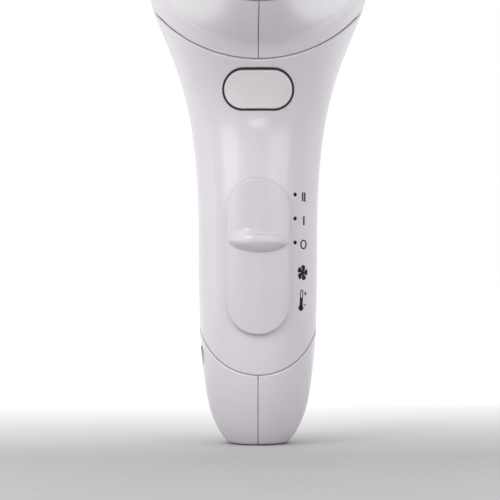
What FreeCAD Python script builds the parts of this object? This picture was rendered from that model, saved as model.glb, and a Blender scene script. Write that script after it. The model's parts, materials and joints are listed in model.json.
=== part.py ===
import FreeCAD, Part
import math
import os
import re

import Sketcher

# Hair dryer. Millimetres. The origin is the centre of the cord inlet's mouth at the handle's lower end;
# +Z runs up the handle, -Y is the front (switch side and air outlet), +X is to the right seen from the front.

VECTOR = FreeCAD.Vector
ALONG_X = FreeCAD.Rotation(VECTOR(0, 1, 0), 90)
ALONG_Y = FreeCAD.Rotation(VECTOR(1, 0, 0), -90)
UPRIGHT = FreeCAD.Rotation()
ELLIPSE_DEEP = FreeCAD.Rotation(VECTOR(0, 0, 1), 90)

# Handle outline: height, half width, depth to the front, depth to the back
HANDLE_STATIONS = {
    "heel": (0, 10.0, 11.5, 16.0),
    "heel_round": (3, 12.4, 13.8, 18.0),
    "heel_top": (9, 15.4, 16.8, 19.8),
    "grip_low": (20, 17.95, 19.8, 21.2),
    "grip_swell": (36, 19.5, 20.95, 21.5),
    "grip_mid": (58, 19.95, 21.0, 21.5),
    "grip_high": (80, 20.15, 21.0, 21.7),
    "waist": (96, 21.15, 20.95, 22.4),
    "neck_low": (108, 22.75, 21.45, 24.4),
    "neck": (118, 25.0, 25.2, 29.0),
    "neck_high": (128, 28.2, 33.0, 38.5),
    "flare": (140, 33.0, 45.0, 51.0),
    "root": (156, 37.0, 53.0, 58.0),
}

# Barrel outline: place along the air path (front is negative), radius
BARREL_STATIONS = {
    "barrel_mouth": (-100, 30.0),
    "barrel_heater": (-60, 35.3),
    "barrel_middle": (-20, 38.9),
    "barrel_motor": (15, 40.0),
    "barrel_fan": (42, 39.3),
    "barrel_tail": (62, 37.0),
}

DIMENSIONS = {
    # housing
    "wall": 2.2,
    "axis_height": 170,
    "floor_thickness": 2.4,
    "half_seam": 0.06,
    "edge_round": 0.45,
    "heel_edge_round": 2.0,
    "junction_round": 12,
    "reach": 300,
    "overrun": 1,
    "bore_overlap": 0.5,
    "thread_fit": 0.02,
    "tail_bore_radius": 34.8,
    "tail_bore_start": 50,
    "mouth_bore_radius": 27.7,
    "mouth_bore_end": -90,
    # front cover
    "cover_arc_radius": 20.0,
    "cover_arc_height": 43.5,
    "cover_back": 0,
    "cover_top_radius": 42.5,
    "cover_gap": 0.12,
    # housing screws and their bosses
    "screw_recess_radius": 3.5,
    "screw_recess_floor": 14.6,
    "screw_head_radius": 2.9,
    "screw_head_height": 1.9,
    "screw_shank_radius": 1.45,
    "screw_length": 20,
    "screw_slot_width": 0.8,
    "boss_radius": 4.6,
    "boss_gap": 0.2,
    "screw_clear_radius": 1.7,
    "low_screw_height": 29.6,
    "low_screw_depth": -3.0,
    "high_screw_height": 108,
    "high_screw_depth": 14,
    # slide plate with thumb ridge
    "plate_width": 21.5,
    "plate_length": 51.8,
    "plate_centre": 62.9,
    "plate_axis_depth": 0.25,
    "plate_outer_depth": 22.65,
    "plate_outer_width": 21.9,
    "plate_inner_depth": 21.6,
    "plate_inner_width": 20.9,
    "plate_edge_round": 0.5,
    "ridge_half_length": 9.6,
    "ridge_height": 3.5,
    "ridge_rise": 3.4,
    "ridge_drop": 3.2,
    "ridge_crest": 67.3,
    "ridge_sink": 21.6,
    # slide travel and what it drives
    "slide_travel": 16.3,
    "stem_width": 5.4,
    "stem_length": 6,
    "stem_centre": 62.5,
    "stem_end": 15.7,
    "slot_width": 6,
    "slot_end_gap": 0.5,
    "carriage_width": 10,
    "carriage_length": 15,
    "carriage_front": 17.2,
    "carriage_back": 13.6,
    "carriage_fit": 0.05,
    "lever_width": 4,
    "lever_length": 5,
    "lever_front": 14.9,
    "lever_back": 9.4,
    "switch_width": 14,
    "switch_front": 12.8,
    "switch_back": 3.0,
    "switch_bottom": 52,
    "switch_top": 92,
    "switch_groove_depth": 3.9,
    "switch_groove_gap": 0.3,
    "terminal_width": 4.8,
    "terminal_thickness": 0.8,
    "terminal_length": 7.5,
    "terminal_pitch": 9,
    "terminal_first": 62,
    "chassis_half_width": 16.6,
    "chassis_front": 3.0,
    "chassis_back": 1.4,
    "chassis_bottom": 49,
    "chassis_top": 127,
    "window_gap": 0.4,
    # cool button
    "button_width": 23.8,
    "button_height": 13.8,
    "button_centre": 117.8,
    "ring_thickness": 0.6,
    "ring_proud": 0.2,
    "button_gap": 0.12,
    "button_proud": 0.55,
    "button_back": 14.0,
    "flange_width": 0.9,
    "flange_gap": 0.5,
    "button_pocket_radius": 4.4,
    "button_pocket_depth": 18.5,
    "button_pin_radius": 1.9,
    "button_pin_end": 12.2,
    "button_travel": 2.2,
    "button_edge_round": 0.5,
    "spring_radius": 3.2,
    "spring_wire": 0.35,
    "spring_turns": 5,
    "microswitch_width": 12,
    "microswitch_height": 10,
    "microswitch_front": 9.6,
    "plunger_radius": 1.3,
    "plunger_back": 6.4,
    "plunger_fit": 0.1,
    "plunger_end_gap": 0.3,
    # cord inlet and clamp
    "inlet_radius": 3.6,
    "bush_radius": 6.0,
    "bush_flange_radius": 8.0,
    "bush_flange_height": 2.2,
    "bush_height": 10,
    "clamp_half_width": 11,
    "clamp_thickness": 4,
    "clamp_height": 6,
    "clamp_bottom": 13,
    "clamp_front": 2.4,
    "clamp_boss_radius": 3.0,
    "clamp_saddle_radius": 3.4,
    "clamp_screw_radius": 1.4,
    "clamp_hole_fit": 0.2,
    "clamp_screw_spacing": 8,
    "clamp_screw_length": 9,
    "clamp_screw_head": 2.5,
    "clamp_screw_head_height": 1.6,
    # hanging loop
    "loop_eye_radius": 4.0,
    "loop_bar": 2.6,
    "loop_thickness": 4.4,
    "loop_height": 9.5,
    "loop_depth": 26.6,
    "loop_tab_height": 6,
    "loop_foot_start": 13.2,
    "loop_foot_thickness": 2.0,
    "loop_foot_half_width": 4,
    "loop_gap": 0.05,
    # rear cap and filter
    "cap_start": 62.4,
    "cap_radius": 37.0,
    "cap_depth": 17,
    "cap_crown_radius": 72,
    "cap_rim_round": 8,
    "cap_wall": 2.0,
    "cap_skirt_radius": 34.4,
    "cap_skirt_start": 55,
    "cap_base": 2.0,
    "cap_ring_first": 5.5,
    "cap_ring_pitch": 4.6,
    "cap_ring_opening": 2.6,
    "cap_rib_width": 2.0,
    "lug_height": 0.9,
    "lug_start": 56.0,
    "lug_length": 2.0,
    "lug_angle": 10,
    "lug_end_angle": 1.5,
    "lug_gap": 0.3,
    "lug_groove_radius": 35.7,
    "cap_turn": 24,
    "filter_start": 60.2,
    "filter_thickness": 0.8,
    "filter_radius": 32.8,
    "cap_skirt_wall": 1.5,
    "filter_rim": 1.6,
    "filter_pitch": 5.2,
    "filter_bar": 0.7,
    # fan and its shroud
    "shroud_inner_radius": 32.6,
    "shroud_outer_radius": 33.8,
    "shroud_start": 8,
    "shroud_end": 53,
    "shroud_flange": 2,
    "sleeve_radius": 15.2,
    "sleeve_start": 14,
    "sleeve_end": 34,
    "vane_thickness": 1.4,
    "vane_angle": 22,
    "vane_sink": 0.5,
    "hub_radius": 12.5,
    "hub_length": 11,
    "hub_start": 39,
    "blade_tip_radius": 31.9,
    "blade_root_radius": 11.5,
    "blade_chord_root": 11.5,
    "blade_chord_tip": 14.5,
    "blade_thickness": 1.3,
    "blade_pitch_root": 48,
    "blade_pitch_tip": 64,
    # motor
    "can_radius": 13.5,
    "can_wall": 0.9,
    "can_start": 6,
    "can_end": 36,
    "end_cap_start": 3,
    "end_cap_spigot": 2,
    "shaft_radius": 1.15,
    "shaft_start": 2.2,
    "shaft_end": 49,
    "bush_outer_radius": 3.0,
    "bush_length": 3,
    "bush_proud": 1,
    "shaft_fit": 0.02,
    "armature_radius": 9.4,
    "armature_start": 14,
    "armature_length": 15,
    "armature_slot": 2.2,
    "commutator_radius": 3.2,
    "commutator_start": 8.2,
    "commutator_length": 4.2,
    "magnet_inner_radius": 10.0,
    "magnet_gap": 4.0,
    "magnet_start": 12,
    "magnet_length": 19,
    "brush_width": 2.0,
    "brush_start": 9.2,
    "brush_fit": 0.03,
    "brush_reach": 8.5,
    "post_width": 2.0,
    "post_height": 4.2,
    # supply board behind the motor
    "board_radius": 12.6,
    "board_thickness": 1.6,
    "board_start": -4.2,
    "diode_radius": 1.5,
    "diode_length": 5.2,
    "diode_spacing": 5.2,
    "capacitor_width": 13,
    "capacitor_thickness": 5,
    "capacitor_height": 10,
    "capacitor_bottom": 97,
    "tab_width": 2.8,
    "tab_thickness": 0.8,
    "tab_spacing": 7,
    # heater
    "tube_radius": 26.6,
    "tube_wall": 0.7,
    "tube_start": -94.6,
    "tube_end": -12,
    "collar_thickness": 2,
    "collar_radius": 36.6,
    "mica_half_width": 24,
    "mica_tab_length": 4,
    "mica_tab_half_width": 25.85,
    "mica_thickness": 0.8,
    "mica_start": -90,
    "mica_end": -16,
    "mica_fit": 0.05,
    "coil_radius": 22.4,
    "coil_wire": 0.4,
    "coil_pitch": 7,
    "coil_turns": 8,
    "coil_start": -82,
    "notch_width": 1.4,
    "notch_floor": 21.9,
    "thermostat_length": 16,
    "thermostat_width": 7,
    "thermostat_height": 4,
    "thermostat_inset": 2,
    "fuse_radius": 2.0,
    "fuse_length": 12,
    # outlet
    "outlet_grille_start": -98.4,
    "outlet_grille_depth": 2.4,
    "outlet_grille_radius": 26.4,
    "outlet_ring_pitch": 5.4,
    "outlet_ring_bar": 1.2,
    "outlet_hub_radius": 4.2,
    "ring_start": -113,
    "ring_end": -95,
    "ring_sleeve_radius": 27.6,
    "ring_collar_radius": 28.6,
    "ring_bore_radius": 26.4,
    "ring_seat": -100.1,
    "ring_lip_radius": 30.0,
    "ring_lip_width": 2.6,
    # concentrator nozzle
    "nozzle_fit": 0.1,
    "nozzle_wall": 1.7,
    "nozzle_stop": 1.0,
    "nozzle_gap": 0.5,
    "nozzle_back": -103.2,
    "nozzle_shoulder": -117,
    "nozzle_tip": -160,
    "nozzle_tip_width": 35,
    "nozzle_tip_height": 6.2,
    # leads
    "lead_radius": 1.1,
    "lead_gap": 0.1,
    "lead_clearance": 1.5,
    "lead_depth": 8.2,
}

for station, (height, half_width, front, back) in HANDLE_STATIONS.items():
    DIMENSIONS[station + "_height"] = height
    DIMENSIONS[station + "_half_width"] = half_width
    DIMENSIONS[station + "_front"] = front
    DIMENSIONS[station + "_back"] = back
for station, (place, radius) in BARREL_STATIONS.items():
    DIMENSIONS[station + "_place"] = place
    DIMENSIONS[station + "_radius"] = radius

VANE_COUNT = 7
BLADE_COUNT = 9
CAP_RING_COUNT = 6
CAP_RIB_COUNT = 8
LUG_COUNT = 3
OUTLET_RING_COUNT = 4
OUTLET_SPOKE_COUNT = 6
TERMINAL_COUNT = 3
DIODE_COUNT = 4
ARMATURE_SLOT_COUNT = 5
FILTER_BAR_COUNT = 11
RUNS_PER_TURN = 24
CROSS_SHARE = 0.6
VANE_CHORD_SHARE = 0.45
ON_SURFACE = 0.02
FLAT = 0.01
NOZZLE_SHARES = (0.25, 0.5, 0.75, 1.0)

doc = FreeCAD.newDocument("HairDryer")
sheet = doc.addObject("Spreadsheet::Sheet", "Dimensions")
for row, (alias, number) in enumerate(DIMENSIONS.items(), start=1):
    sheet.set(f"A{row}", alias)
    sheet.set(f"B{row}", str(number))
    sheet.setAlias(f"B{row}", alias)
doc.recompute()

SUB_PARTS = []


def size(alias):
    """The sheet's number for an alias."""
    return float(sheet.get(alias))


def formula(text):
    """A FreeCAD expression: every alias in the text is read from the sheet."""
    return re.sub(r"[a-z_]+", lambda m: f"Dimensions.{m[0]}" if m[0] in DIMENSIONS else m[0], text)


def bind(item, **sizes):
    for name, text in sizes.items():
        item.setExpression(name, formula(text))


def put(item, at=("0", "0", "0"), turn=UPRIGHT, about=("0", "0", "0")):
    """Places an item at a point that is turned, with the item, about another point."""
    item.Placement = FreeCAD.Placement(VECTOR(), turn)
    units = [turn.multVec(VECTOR(*unit)) for unit in ((1, 0, 0), (0, 1, 0), (0, 0, 1))]
    for i, axis in enumerate("xyz"):
        terms = [f"{round(unit[i], 9)} * ({text})" for unit, text in zip(units, at) if abs(unit[i]) > 1e-9]
        item.setExpression(f"Placement.Base.{axis}", formula(" + ".join([about[i]] + terms)))
    return item


def box(name, low, high, turn=UPRIGHT, about=("0", "0", "0")):
    """A block between two corners, which may be turned about a point."""
    item = doc.addObject("Part::Box", name)
    spans = [f"({top}) - ({bottom})" for bottom, top in zip(low, high)]
    bind(item, Length=spans[0], Width=spans[1], Height=spans[2])
    return put(item, low, turn, about)


def cylinder(name, radius, length, at, turn=ALONG_Y):
    item = doc.addObject("Part::Cylinder", name)
    bind(item, Radius=radius, Height=length)
    return put(item, ("0", "0", "0"), turn, at)


def axial(name, radius, start, end):
    """A cylinder on the barrel's axis."""
    return cylinder(name, radius, f"({end}) - ({start})", ("0", start, "axis_height"))


def fuse(name, *items):
    item = doc.addObject("Part::MultiFuse", name)
    item.Shapes = list(items)
    return item


def cut(name, base, tool):
    item = doc.addObject("Part::Cut", name)
    item.Base = base
    item.Tool = tool
    return item


def common(name, *items):
    item = doc.addObject("Part::MultiCommon", name)
    item.Shapes = list(items)
    return item


def group(name, *items):
    """Separate solids that share one node."""
    item = doc.addObject("Part::Compound", name)
    item.Links = list(items)
    return item


def tube(name, outer, inner, start, end):
    """A pipe on the barrel's axis."""
    return cut(name, axial(name + "Outer", outer, start, end), axial(name + "Bore", inner, start, end))


def rounded(name, base, radius, wanted):
    """Rounds the edges of a shape that pass a test."""
    doc.recompute()
    edges = [(i, radius, radius) for i, edge in enumerate(base.Shape.Edges, start=1) if wanted(edge)]
    item = doc.addObject("Part::Fillet", name)
    item.Base = base
    item.Edges = edges
    return item


def sub_part(label, item):
    """Marks a finished piece: its label names its file."""
    item.Label = label
    SUB_PARTS.append(item)
    return item


def stadium(name, length, width, centre, front, back, upright=False):
    """A slot shape that runs along Y between two depths; its long side is level or upright."""
    radius = f"({width}) / 2"
    reach = f"(({length}) - ({width})) / 2"
    half_x, half_z = (radius, reach) if upright else (reach, radius)
    middle = box(name + "Middle",
                 (f"-{half_x}", front, f"{centre} - {half_z}"),
                 (half_x, back, f"{centre} + {half_z}"))
    ends = []
    for sign in (-1, 1):
        shift = f"{sign} * {reach}"
        at = ("0", front, f"{centre} + {shift}") if upright else (shift, front, centre)
        ends.append(cylinder(f"{name}End", radius, f"({back}) - ({front})", at))
    return fuse(name, middle, *ends)


def handle_loft(name, inset, forward="0"):
    """The handle's outline, drawn in by a wall and moved towards the front."""
    sections = []
    for station in HANDLE_STATIONS:
        ellipse = doc.addObject("Part::Ellipse", f"{name}{station.title()}")
        bind(ellipse,
             MajorRadius=f"({station}_front + {station}_back) / 2 - ({inset})",
             MinorRadius=f"{station}_half_width - ({inset})")
        centre = f"({station}_back - {station}_front) / 2 - {forward}"
        sections.append(put(ellipse, turn=ELLIPSE_DEEP, about=("0", centre, f"{station}_height")))
    loft = doc.addObject("Part::Loft", name)
    loft.Sections = sections
    loft.Solid = True
    return loft


def barrel_loft(name, inset):
    sections = []
    for station in BARREL_STATIONS:
        circle = doc.addObject("Part::Circle", f"{name}{station.title()}")
        bind(circle, Radius=f"{station}_radius - ({inset})")
        sections.append(put(circle, turn=ALONG_Y, about=("0", f"{station}_place", "axis_height")))
    loft = doc.addObject("Part::Loft", name)
    loft.Sections = sections
    loft.Solid = True
    return loft


def coil(name, radius, turns, length, wire, at):
    """A round wire wound along +Y, in short straight runs mitred to each other."""
    runs = RUNS_PER_TURN * int(size(turns))
    distance = size(radius)
    points = []
    for i in range(runs + 1):
        angle = 2 * math.pi * i / RUNS_PER_TURN
        points.append(VECTOR(distance * math.cos(angle), distance * math.sin(angle), length * i / runs))
    path = doc.addObject("Part::Feature", name + "Path")
    path.Shape = Part.makePolygon(points)
    put(path, turn=ALONG_Y, about=at)
    doc.recompute()
    first, second = (path.Placement.multVec(point) for point in points[:2])
    profile = doc.addObject("Part::Circle", name + "Section")
    bind(profile, Radius=wire)
    profile.Placement = FreeCAD.Placement(first, FreeCAD.Rotation(VECTOR(0, 0, 1), second - first))
    sweep = doc.addObject("Part::Sweep", name)
    sweep.Sections = [profile]
    sweep.Spine = (path, [f"Edge{i + 1}" for i in range(runs)])
    sweep.Solid = True
    sweep.Transition = "Right corner"
    return sweep


def around(count):
    """Turns about the barrel's axis, evenly spaced."""
    return [FreeCAD.Rotation(VECTOR(0, 1, 0), 360 * i / count) for i in range(count)]


def sector(name, radius, start, end, first_angle, span):
    """A slice of a cylinder on the barrel's axis."""
    item = axial(name, radius, start, end)
    bind(item, Angle=span)
    item.Placement.Rotation = FreeCAD.Rotation(VECTOR(0, 1, 0), first_angle) * ALONG_Y
    return item


def ellipsoid(name, across, upward, deep, at, turn=UPRIGHT):
    """A full ellipsoid: half sizes along local X, Z and Y."""
    item = doc.addObject("Part::Ellipsoid", name)
    bind(item, Radius1=upward, Radius2=across, Radius3=deep)
    return put(item, turn=turn, about=at)


# Housing: the handle and barrel are one hollow form, parted into two halves and a front cover

BARREL_AXIS = ("0", "0", "axis_height")


def is_junction(edge):
    return edge.BoundBox.ZMin > size("waist_height") and edge.BoundBox.ZMax < size("axis_height") \
        and edge.Length > size("axis_height")


def is_heel_edge(edge):
    return edge.BoundBox.ZMax < size("wall") and edge.Length > size("heel_half_width") * math.pi


def hollow_form():
    blank = fuse("FormBlank", handle_loft("HandleForm", "0"), barrel_loft("BarrelForm", "0"))
    blended = rounded("FormBlended", blank, size("junction_round"), is_junction)
    outside = rounded("FormOutside", blended, size("heel_edge_round"), is_heel_edge)
    floor = box("FloorBlock", ("-reach", "-reach", "-reach"), ("reach", "reach", "floor_thickness"))
    barrel_span = box("BarrelSpan",
                      ("-reach", "mouth_bore_end", "0"), ("reach", "tail_bore_start", "reach"))
    cavity = fuse(
        "Cavity",
        cut("HandleCavity", handle_loft("HandleCore", "wall"), floor),
        common("BarrelCavity", barrel_loft("BarrelCore", "wall"), barrel_span),
        axial("MouthBore", "mouth_bore_radius", "barrel_mouth_place - wall", "mouth_bore_end + bore_overlap"),
        axial("TailBore", "tail_bore_radius", "tail_bore_start - bore_overlap", "barrel_tail_place + wall"))
    return outside, cut("HollowForm", outside, cavity)


def touches(shape, edge):
    """True if an edge lies on a shape's surface."""
    span = edge.LastParameter - edge.FirstParameter
    points = [edge.valueAt(edge.FirstParameter + span * share) for share in (0.25, 0.5, 0.75)]
    return all(shape.Shells[0].distToShape(Part.Vertex(point))[0] < ON_SURFACE for point in points)


def parting_rounded(name, piece, outside):
    """Rounds a piece's outside edges where it meets its neighbours, but not at the barrel's open ends."""
    doc.recompute()
    form = outside.Shape
    flat_faces = [face for face in piece.Shape.Faces if face.Surface.TypeId != "Part::GeomBSplineSurface"]
    cut_edges = {edge.hashCode() for face in flat_faces for edge in face.Edges}

    def is_parting(edge):
        bounds = edge.BoundBox
        at_seam = bounds.XLength < size("half_seam") / 2 and bounds.XMax < size("wall")
        at_cover = bounds.YMax < size("cover_gap") and bounds.ZMin > size("heel_top_height") \
            and bounds.ZMax < size("axis_height") and edge.Length > size("wall")
        at_end = bounds.YLength < FLAT and bounds.ZLength < size("wall") * 2
        return edge.hashCode() in cut_edges and (at_seam or at_cover) and not at_end and touches(form, edge)

    return rounded(name, piece, size("edge_round"), is_parting)


def cover_zone(name, gap):
    """The space in front of the widest line, from the arc at its foot up to the barrel."""
    foot = cylinder(name + "Foot", f"cover_arc_radius - {gap}", f"reach + cover_back - {gap}",
                    ("0", "-reach", "cover_arc_height"))
    rise = box(name + "Rise", ("-reach", "-reach", "cover_arc_height"),
               ("reach", f"cover_back - {gap}", "axis_height"))
    guard = axial(name + "Guard", f"cover_top_radius + {gap}", "-reach", "reach")
    return cut(name, fuse(name + "Blank", foot, rise), guard)


def screw_places():
    return (("low", "low_screw_depth", "low_screw_height"), ("high", "high_screw_depth", "high_screw_height"))


def across(name, radius, start, end, depth, height):
    """A cylinder that runs from left to right."""
    return cylinder(name, radius, f"({end}) - ({start})", (start, depth, height), ALONG_X)


def boss_room(shell):
    """Where the halves' bosses may stand: up to the middle of the wall, but clear of the front cover."""
    mid_wall = fuse("MidWallForm",
                    handle_loft("MidWallHandle", "wall / 2"), barrel_loft("MidWallBarrel", "wall / 2"))
    return cut("BossRoom", mid_wall, common("CoverSpace", shell, cover_zone("CoverReserve", "0")))


def half_shells(shell, outside):
    """The shell's left half with its parting edges rounded, and its mirror image."""
    left_side = box("LeftSide", ("-reach", "-reach", "-reach"), ("-half_seam", "reach", "reach"))
    left = parting_rounded("LeftShell", common("LeftShellBlank", shell, left_side), outside)
    right = doc.addObject("Part::Mirroring", "RightShell")
    right.Source = left
    right.Normal = VECTOR(1, 0, 0)
    return left, right


def housing_half(label, side, half_shell, room, cutters):
    """One half: its shell, its screw bosses and its clamp boss, cut where other pieces pass."""
    bosses = []
    holes = []
    for place, depth, height in screw_places():
        inner = "-boss_gap" if side < 0 else "boss_gap"
        ends = ("-reach", inner) if side < 0 else (inner, "reach")
        bosses.append(across(f"{label}_{place}_boss", "boss_radius", *ends, depth, height))
        if side < 0:
            holes.append(across(f"{place}_recess", "screw_recess_radius",
                                "-reach", "-screw_recess_floor", depth, height))
            holes.append(across(f"{place}_clear", "screw_clear_radius", "-reach", "0", depth, height))
        else:
            holes.append(across(f"{place}_pilot", "screw_shank_radius + thread_fit",
                                "0", "screw_length - screw_recess_floor + overrun", depth, height))
    post_x = f"{side} * clamp_screw_spacing"
    post_z = "clamp_bottom + clamp_height / 2"
    bosses.append(cylinder(f"{label}_clamp_boss", "clamp_boss_radius", "reach + clamp_front - boss_gap",
                           (post_x, "-reach", post_z)))
    holes.append(cylinder(f"{label}_clamp_pilot", "clamp_screw_radius + thread_fit", "clamp_screw_length",
                          (post_x, "clamp_front + clamp_thickness - clamp_screw_length - overrun", post_z)))
    inside = common(label + "_bosses", fuse(label + "_boss_blanks", *bosses), room)
    joined = fuse(label + "_joined", half_shell, inside)
    return sub_part(label, cut(label + "_body", joined, fuse(label + "_holes", *holes, *cutters)))


def housing():
    outside, shell = hollow_form()
    parted = cut("HousingShell", shell, cover_zone("CoverOpening", "0"))
    loop_half = "loop_thickness / 2 + loop_gap"
    tab_half = "(loop_tab_height / 2 + loop_gap)"
    shared = [
        cylinder("BushHole", "bush_radius", "floor_thickness + 2 * wall", ("0", "0", "-wall"), UPRIGHT),
        box("LoopHole",
            (f"-({loop_half})", "loop_foot_start + loop_foot_thickness", f"loop_height - {tab_half}"),
            (loop_half, "reach", f"loop_height + {tab_half}")),
    ]
    for i in range(LUG_COUNT):
        first = 360 * i / LUG_COUNT - size("lug_angle") / 2 - size("lug_end_angle")
        span = "lug_angle + 2 * lug_end_angle"
        shared.append(sector(f"LugGroove{i}", "lug_groove_radius", "lug_start - lug_gap",
                             "lug_start + lug_length + lug_gap", first, f"{span} + cap_turn"))
        shared.append(sector(f"LugEntry{i}", "lug_groove_radius", "lug_start", "reach",
                             first + size("cap_turn"), span))
    room = boss_room(shell)
    left, right = half_shells(parted, outside)
    housing_half("housing_left", -1, left, room, shared)
    housing_half("housing_right", 1, right, room, shared)
    cover_blank = common("CoverBlank", shell, cover_zone("CoverZone", "cover_gap"))
    cover = parting_rounded("CoverSoftened", cover_blank, outside)
    openings = fuse(
        "CoverOpenings",
        stadium("ButtonOpening", "button_width", "button_height", "button_centre", "-reach", "-wall"),
        box("StemSlot",
            ("-slot_width / 2", "-reach", "stem_centre - stem_length / 2 - slot_end_gap"),
            ("slot_width / 2", "-wall", "stem_centre + stem_length / 2 + slide_travel + slot_end_gap")))
    sub_part("front_cover", cut("CoverBody", cover, openings))


def housing_screws():
    screws = []
    for place, depth, height in screw_places():
        seat = "-screw_recess_floor"
        head_face = f"{seat} - screw_head_height"
        head = across(place + "_head", "screw_head_radius", head_face, seat, depth, height)
        shank = across(place + "_shank", "screw_shank_radius", seat, f"{seat} + screw_length", depth, height)
        half_sizes = ("screw_slot_width / 2", f"screw_head_radius * {CROSS_SHARE}")
        bars = [
            box(f"{place}_bar{i}",
                (head_face, f"{depth} - {wide}", f"{height} - {tall}"),
                (f"{head_face} + screw_head_height / 2", f"{depth} + {wide}", f"{height} + {tall}"))
            for i, (wide, tall) in enumerate((half_sizes, half_sizes[::-1]))
        ]
        blank = fuse(place + "_blank", head, shank)
        screws.append(cut(place + "_screw", blank, fuse(place + "_cross", *bars)))
    sub_part("housing_screws", group("HousingScrews", *screws))


# Slide switch: the outside plate, what it drives and the switch that it works


def plate_prism(name, wide, deep):
    """An upright elliptical rod that the plate's faces follow."""
    section = doc.addObject("Part::Ellipse", name + "Section")
    bind(section, MajorRadius=f"max({wide}; {deep})", MinorRadius=f"min({wide}; {deep})")
    put(section, turn=ELLIPSE_DEEP, about=("0", "plate_axis_depth", "0"))
    prism = doc.addObject("Part::Extrusion", name)
    prism.Base = section
    prism.DirMode = "Custom"
    prism.Dir = VECTOR(0, 0, 1)
    prism.Solid = True
    bind(prism, LengthFwd="axis_height")
    return prism


def switch_plate():
    outline = stadium("PlateOutline", "plate_length", "plate_width", "plate_centre", "-reach", "-wall", True)
    crown = common("PlateCrown", outline, plate_prism("PlateOuter", "plate_outer_width", "plate_outer_depth"))
    slab = cut("PlateSlab", crown, plate_prism("PlateInner", "plate_inner_width", "plate_inner_depth"))

    def is_rim(edge):
        middle = edge.valueAt((edge.FirstParameter + edge.LastParameter) / 2)
        depth = size("plate_axis_depth") - middle.y
        reach_out = (middle.x / size("plate_outer_width")) ** 2 + (depth / size("plate_outer_depth")) ** 2
        return abs(reach_out - 1) < 1e-3

    softened = rounded("PlateSoftened", slab, size("plate_edge_round"), is_rim)
    halves = []
    for name, reach_up, low, high in (("RidgeTop", "ridge_rise", "ridge_crest", "axis_height"),
                                      ("RidgeUnder", "ridge_drop", "0", "ridge_crest")):
        form = ellipsoid(name + "Form", "ridge_half_length", reach_up, "ridge_height",
                         ("0", "-ridge_sink", "ridge_crest"))
        span = box(name + "Span", ("-reach", "-reach", low), ("reach", "reach", high))
        halves.append(common(name, form, span))
    core = plate_prism("RidgeTrim", "plate_inner_width", "plate_inner_depth")
    ridge = cut("Ridge", fuse("RidgeForm", *halves), core)
    stem = box("PlateStem",
               ("-stem_width / 2", "-plate_inner_depth", "stem_centre - stem_length / 2"),
               ("stem_width / 2", "-stem_end", "stem_centre + stem_length / 2"))
    sub_part("switch_plate", fuse("PlateBody", softened, ridge, stem))


def slide_switch():
    low = "stem_centre - {} / 2"
    high = "stem_centre + {} / 2"
    carriage = box("CarriageBlock",
                   ("-carriage_width / 2", "-carriage_front", low.format("carriage_length")),
                   ("carriage_width / 2", "-carriage_back", high.format("carriage_length")))
    pockets = [
        box("StemPocket",
            ("-stem_width / 2 - carriage_fit", "-reach", low.format("stem_length") + " - carriage_fit"),
            ("stem_width / 2 + carriage_fit", "-stem_end + carriage_fit",
             high.format("stem_length") + " + carriage_fit")),
        box("LeverPocket",
            ("-lever_width / 2 - carriage_fit", "-lever_front - carriage_fit",
             low.format("lever_length") + " - carriage_fit"),
            ("lever_width / 2 + carriage_fit", "0", high.format("lever_length") + " + carriage_fit")),
    ]
    sub_part("switch_carriage", cut("Carriage", carriage, fuse("CarriagePockets", *pockets)))
    sub_part("switch_lever", box("Lever",
                                 ("-lever_width / 2", "-lever_front", low.format("lever_length")),
                                 ("lever_width / 2", "-lever_back", high.format("lever_length"))))
    block = box("SwitchBlock", ("-switch_width / 2", "-switch_front", "switch_bottom"),
                ("switch_width / 2", "-switch_back", "switch_top"))
    groove = box("SwitchGroove",
                 ("-lever_width / 2 - switch_groove_gap", "-reach",
                  low.format("lever_length") + " - switch_groove_gap"),
                 ("lever_width / 2 + switch_groove_gap", "switch_groove_depth - switch_front",
                  high.format("lever_length") + " + slide_travel + switch_groove_gap"))
    sub_part("switch_body", cut("SwitchCase", block, groove))
    blades = []
    windows = []
    for i in range(TERMINAL_COUNT):
        height = f"terminal_first + {i} * terminal_pitch"
        top = f"{height} + terminal_thickness"
        blades.append(box(f"Blade{i}", ("-terminal_width / 2", "-switch_back", height),
                          ("terminal_width / 2", "terminal_length - switch_back", top)))
        windows.append(box(f"Window{i}",
                           ("-terminal_width / 2 - window_gap", "-reach", f"{height} - window_gap"),
                           ("terminal_width / 2 + window_gap", "reach", f"{top} + window_gap")))
    sub_part("switch_terminals", group("Terminals", *blades))
    plate = box("ChassisPlate", ("-chassis_half_width", "-chassis_front", "chassis_bottom"),
                ("chassis_half_width", "-chassis_back", "chassis_top"))
    sub_part("switch_chassis", cut("Chassis", plate, fuse("ChassisWindows", *windows)))
    sub_part("suppression_capacitor", box(
        "Capacitor", ("-capacitor_width / 2", "-chassis_back", "capacitor_bottom"),
        ("capacitor_width / 2", "capacitor_thickness - chassis_back", "capacitor_bottom + capacitor_height")))


# Cool button: a sprung key in a black ring, and the micro switch behind it


def button_outline(name, inset, front, back):
    return stadium(name, f"(button_width - 2 * ({inset}))", f"(button_height - 2 * ({inset}))",
                   "button_centre", front, back)


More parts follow.
